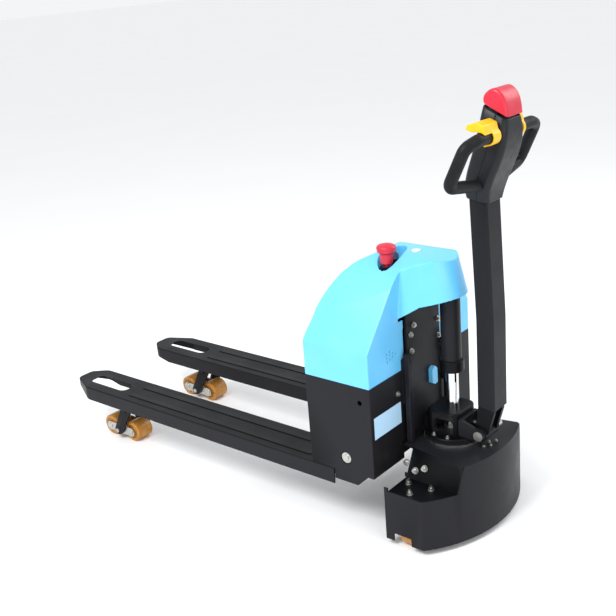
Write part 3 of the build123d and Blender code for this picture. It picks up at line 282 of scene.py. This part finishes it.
def lathe(profile, centre, axis, steps=72):
    """Closed ring of revolution. Profile points are (radius, along, material of the band that follows)."""
    work = bmesh.new()
    rings = []
    across = (Vector((0, 1, 0)), Vector((0, 0, 1))) if axis == 0 else (Vector((0, 0, 1)), Vector((1, 0, 0)))
    along_axis = Vector((1, 0, 0)) if axis == 0 else Vector((0, 1, 0))
    for radius, along, _ in profile:
        ring = []
        for step in range(steps):
            turn = 2 * math.pi * step / steps
            arm = math.cos(turn) * across[0] + math.sin(turn) * across[1]
            ring.append(work.verts.new(centre + along * along_axis + radius * arm))
        rings.append(ring)
    for index, (_, _, material) in enumerate(profile):
        first, second = rings[index], rings[(index + 1) % len(rings)]
        for step in range(steps):
            after = (step + 1) % steps
            face = work.faces.new((first[step], first[after], second[after], second[step]))
            face.material_index = material
            face.smooth = True
    bmesh.ops.recalc_face_normals(work, faces=work.faces)
    mesh = bpy.data.meshes.new("lathe")
    work.to_mesh(mesh)
    work.free()
    mesh.set_sharp_from_angle(angle=math.radians(32))
    return mesh


def arc_points(radius, along, corner, turn_from, turn_to, material, count=5):
    """Rounded corner of a profile, centred at (radius, along)."""
    points = []
    for step in range(count):
        turn = math.radians(turn_from + (turn_to - turn_from) * step / (count - 1))
        points.append((radius + corner * math.sin(turn), along + corner * math.cos(turn), material))
    return points


def wheel(node, axis, bore, hub, web, dish, corner):
    """Cast tread on a hub: materials are tread, side ring, hub and bearing."""
    low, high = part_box(node)
    centre = (Vector(low) + Vector(high)) / 2
    radius = (high[2] - low[2]) / 2
    half = (high[axis] - low[axis]) / 2
    side = [
        (bore, half - dish * 0.4, 2),
        (bore + 3 * MM, half - dish * 0.4, 3),
        (bore + 3.6 * MM, half - dish * 0.75, 3),
        (hub - 1.2 * MM, half - dish * 0.75, 2),
        (hub - 0.6 * MM, half - dish * 0.3, 2),
        (hub + 1.4 * MM, half - dish * 0.3, 2),
        (hub + 2.0 * MM, half - dish, 3),
        (web - 1.0 * MM, half - dish, 1),
        (web, half - dish + 1.0 * MM, 1),
        (web + 0.6 * MM, half - 0.8 * MM, 1),
        (web + 1.6 * MM, half, 1),
    ]
    shoulder = arc_points(radius - corner, half - corner, corner, 0, 90, 1)
    shoulder[-1] = (radius, half - corner, 0)
    crown = [(radius, 0.3 * half, 0)]
    right = side + shoulder + crown
    left = [(r, -along, 0) for r, along, _ in reversed(right)]
    bands = [m for _, _, m in right[:-1]]
    left = [(r, along, m) for (r, along, _), m in zip(left, [0] + list(reversed(bands)))]
    profile = right + left
    profile[-1] = (bore, profile[-1][1], 2)
    made = new_piece(node + "_look", lathe(profile, centre, axis), node, (AMBER, RING, ZINC, BLACK))
    return made


for side in ("left", "right"):
    for place in ("front", "rear"):
        wheel(f"load_roller_{place}_{side}", 0, 10.2 * MM, 19 * MM, 25 * MM, 4 * MM, 3.5 * MM)
    wheel(f"castor_wheel_{side}", 1, 6.2 * MM, 12 * MM, 20 * MM, 2.5 * MM, 5 * MM)

new_piece("cover_skin", soft_copy("cover", 2.0 * MM, 5), "cover", (BLUE,))
new_piece("head_skin_front", soft_copy("head_shell_front", 1.5 * MM, 4), "head_shell_front", (HEAD,))
new_piece("head_skin_rear", soft_copy("head_shell_rear", 1.5 * MM, 4), "head_shell_rear", (HEAD,))
new_piece("throttle_skin", soft_copy("throttle_wings", 1.2 * MM, 8), "throttle_wings", (YELLOW,))


# ---- stage, light and camera ----
def area_light(name, place, target, size, power, colour=(1.0, 1.0, 1.0)):
    lamp = bpy.data.lights.new(name, "AREA")
    lamp.shape = "RECTANGLE"
    lamp.size, lamp.size_y = size
    lamp.energy = power
    lamp.color = colour
    made = bpy.data.objects.new(name, lamp)
    made.location = place
    made.rotation_mode = "QUATERNION"
    made.rotation_quaternion = (Vector(target) - Vector(place)).to_track_quat("-Z", "Y")
    bpy.context.scene.collection.objects.link(made)


def floor():
    mesh = bpy.data.meshes.new("floor")
    mesh.from_pydata([(-30, -30, 0), (30, -30, 0), (30, 30, 0), (-30, 30, 0)], [], [(0, 1, 2, 3)])
    made = bpy.data.objects.new("floor", mesh)
    bpy.context.scene.collection.objects.link(made)
    pale = Shader("pale_floor", 0.7)
    pale.set("Base Color", pale.ramp(pale.noise(1.5, 3.0), [(0.3, rgb(0.945, 0.947, 0.95)), (0.7, rgb(0.96, 0.962, 0.965))]))
    dress(made, pale.material)


def camera():
    """Standing behind and left of the tiller, turned to the forks, with a slight roll."""
    place = Vector((-2.2924, REAR - 1.5653, 1.6707))
    heading, pitch, roll = (math.radians(angle) for angle in (50.836, -19.135, -3.95))
    forward = Vector((math.sin(heading) * math.cos(pitch), math.cos(heading) * math.cos(pitch), math.sin(pitch)))
    right = forward.cross(Vector((0, 0, 1))).normalized()
    up = right.cross(forward)
    turned_right = math.cos(roll) * right + math.sin(roll) * up
    turned_up = math.cos(roll) * up - math.sin(roll) * right
    lens = bpy.data.cameras.new("camera")
    lens.lens = 58.01
    lens.shift_x = -0.052
    lens.shift_y = -0.025
    lens.sensor_width = 36.0
    made = bpy.data.objects.new("camera", lens)
    made.matrix_world = Matrix((
        (turned_right.x, turned_up.x, -forward.x, place.x),
        (turned_right.y, turned_up.y, -forward.y, place.y),
        (turned_right.z, turned_up.z, -forward.z, place.z),
        (0, 0, 0, 1),
    ))
    bpy.context.scene.collection.objects.link(made)
    bpy.context.scene.camera = made


bpy.context.scene.view_settings.view_transform = "Standard"
world = bpy.data.worlds.new("studio")
world.use_nodes = True
world.node_tree.nodes["Background"].inputs["Color"].default_value = (0.965, 0.982, 1.0, 1.0)
world.node_tree.nodes["Background"].inputs["Strength"].default_value = 0.93
bpy.context.scene.world = world
floor()
area_light("key", (-2.6, -0.2, 3.4), (0, -0.3, 0.5), (1.4, 1.4), 110.0)
area_light("rim", (2.6, -2.2, 2.8), (0, -0.6, 0.6), (1.5, 2.0), 45.0)
area_light("front", (-1.5, -3.8, 1.6), (0, -0.6, 0.4), (2.2, 1.2), 25.0)
camera()
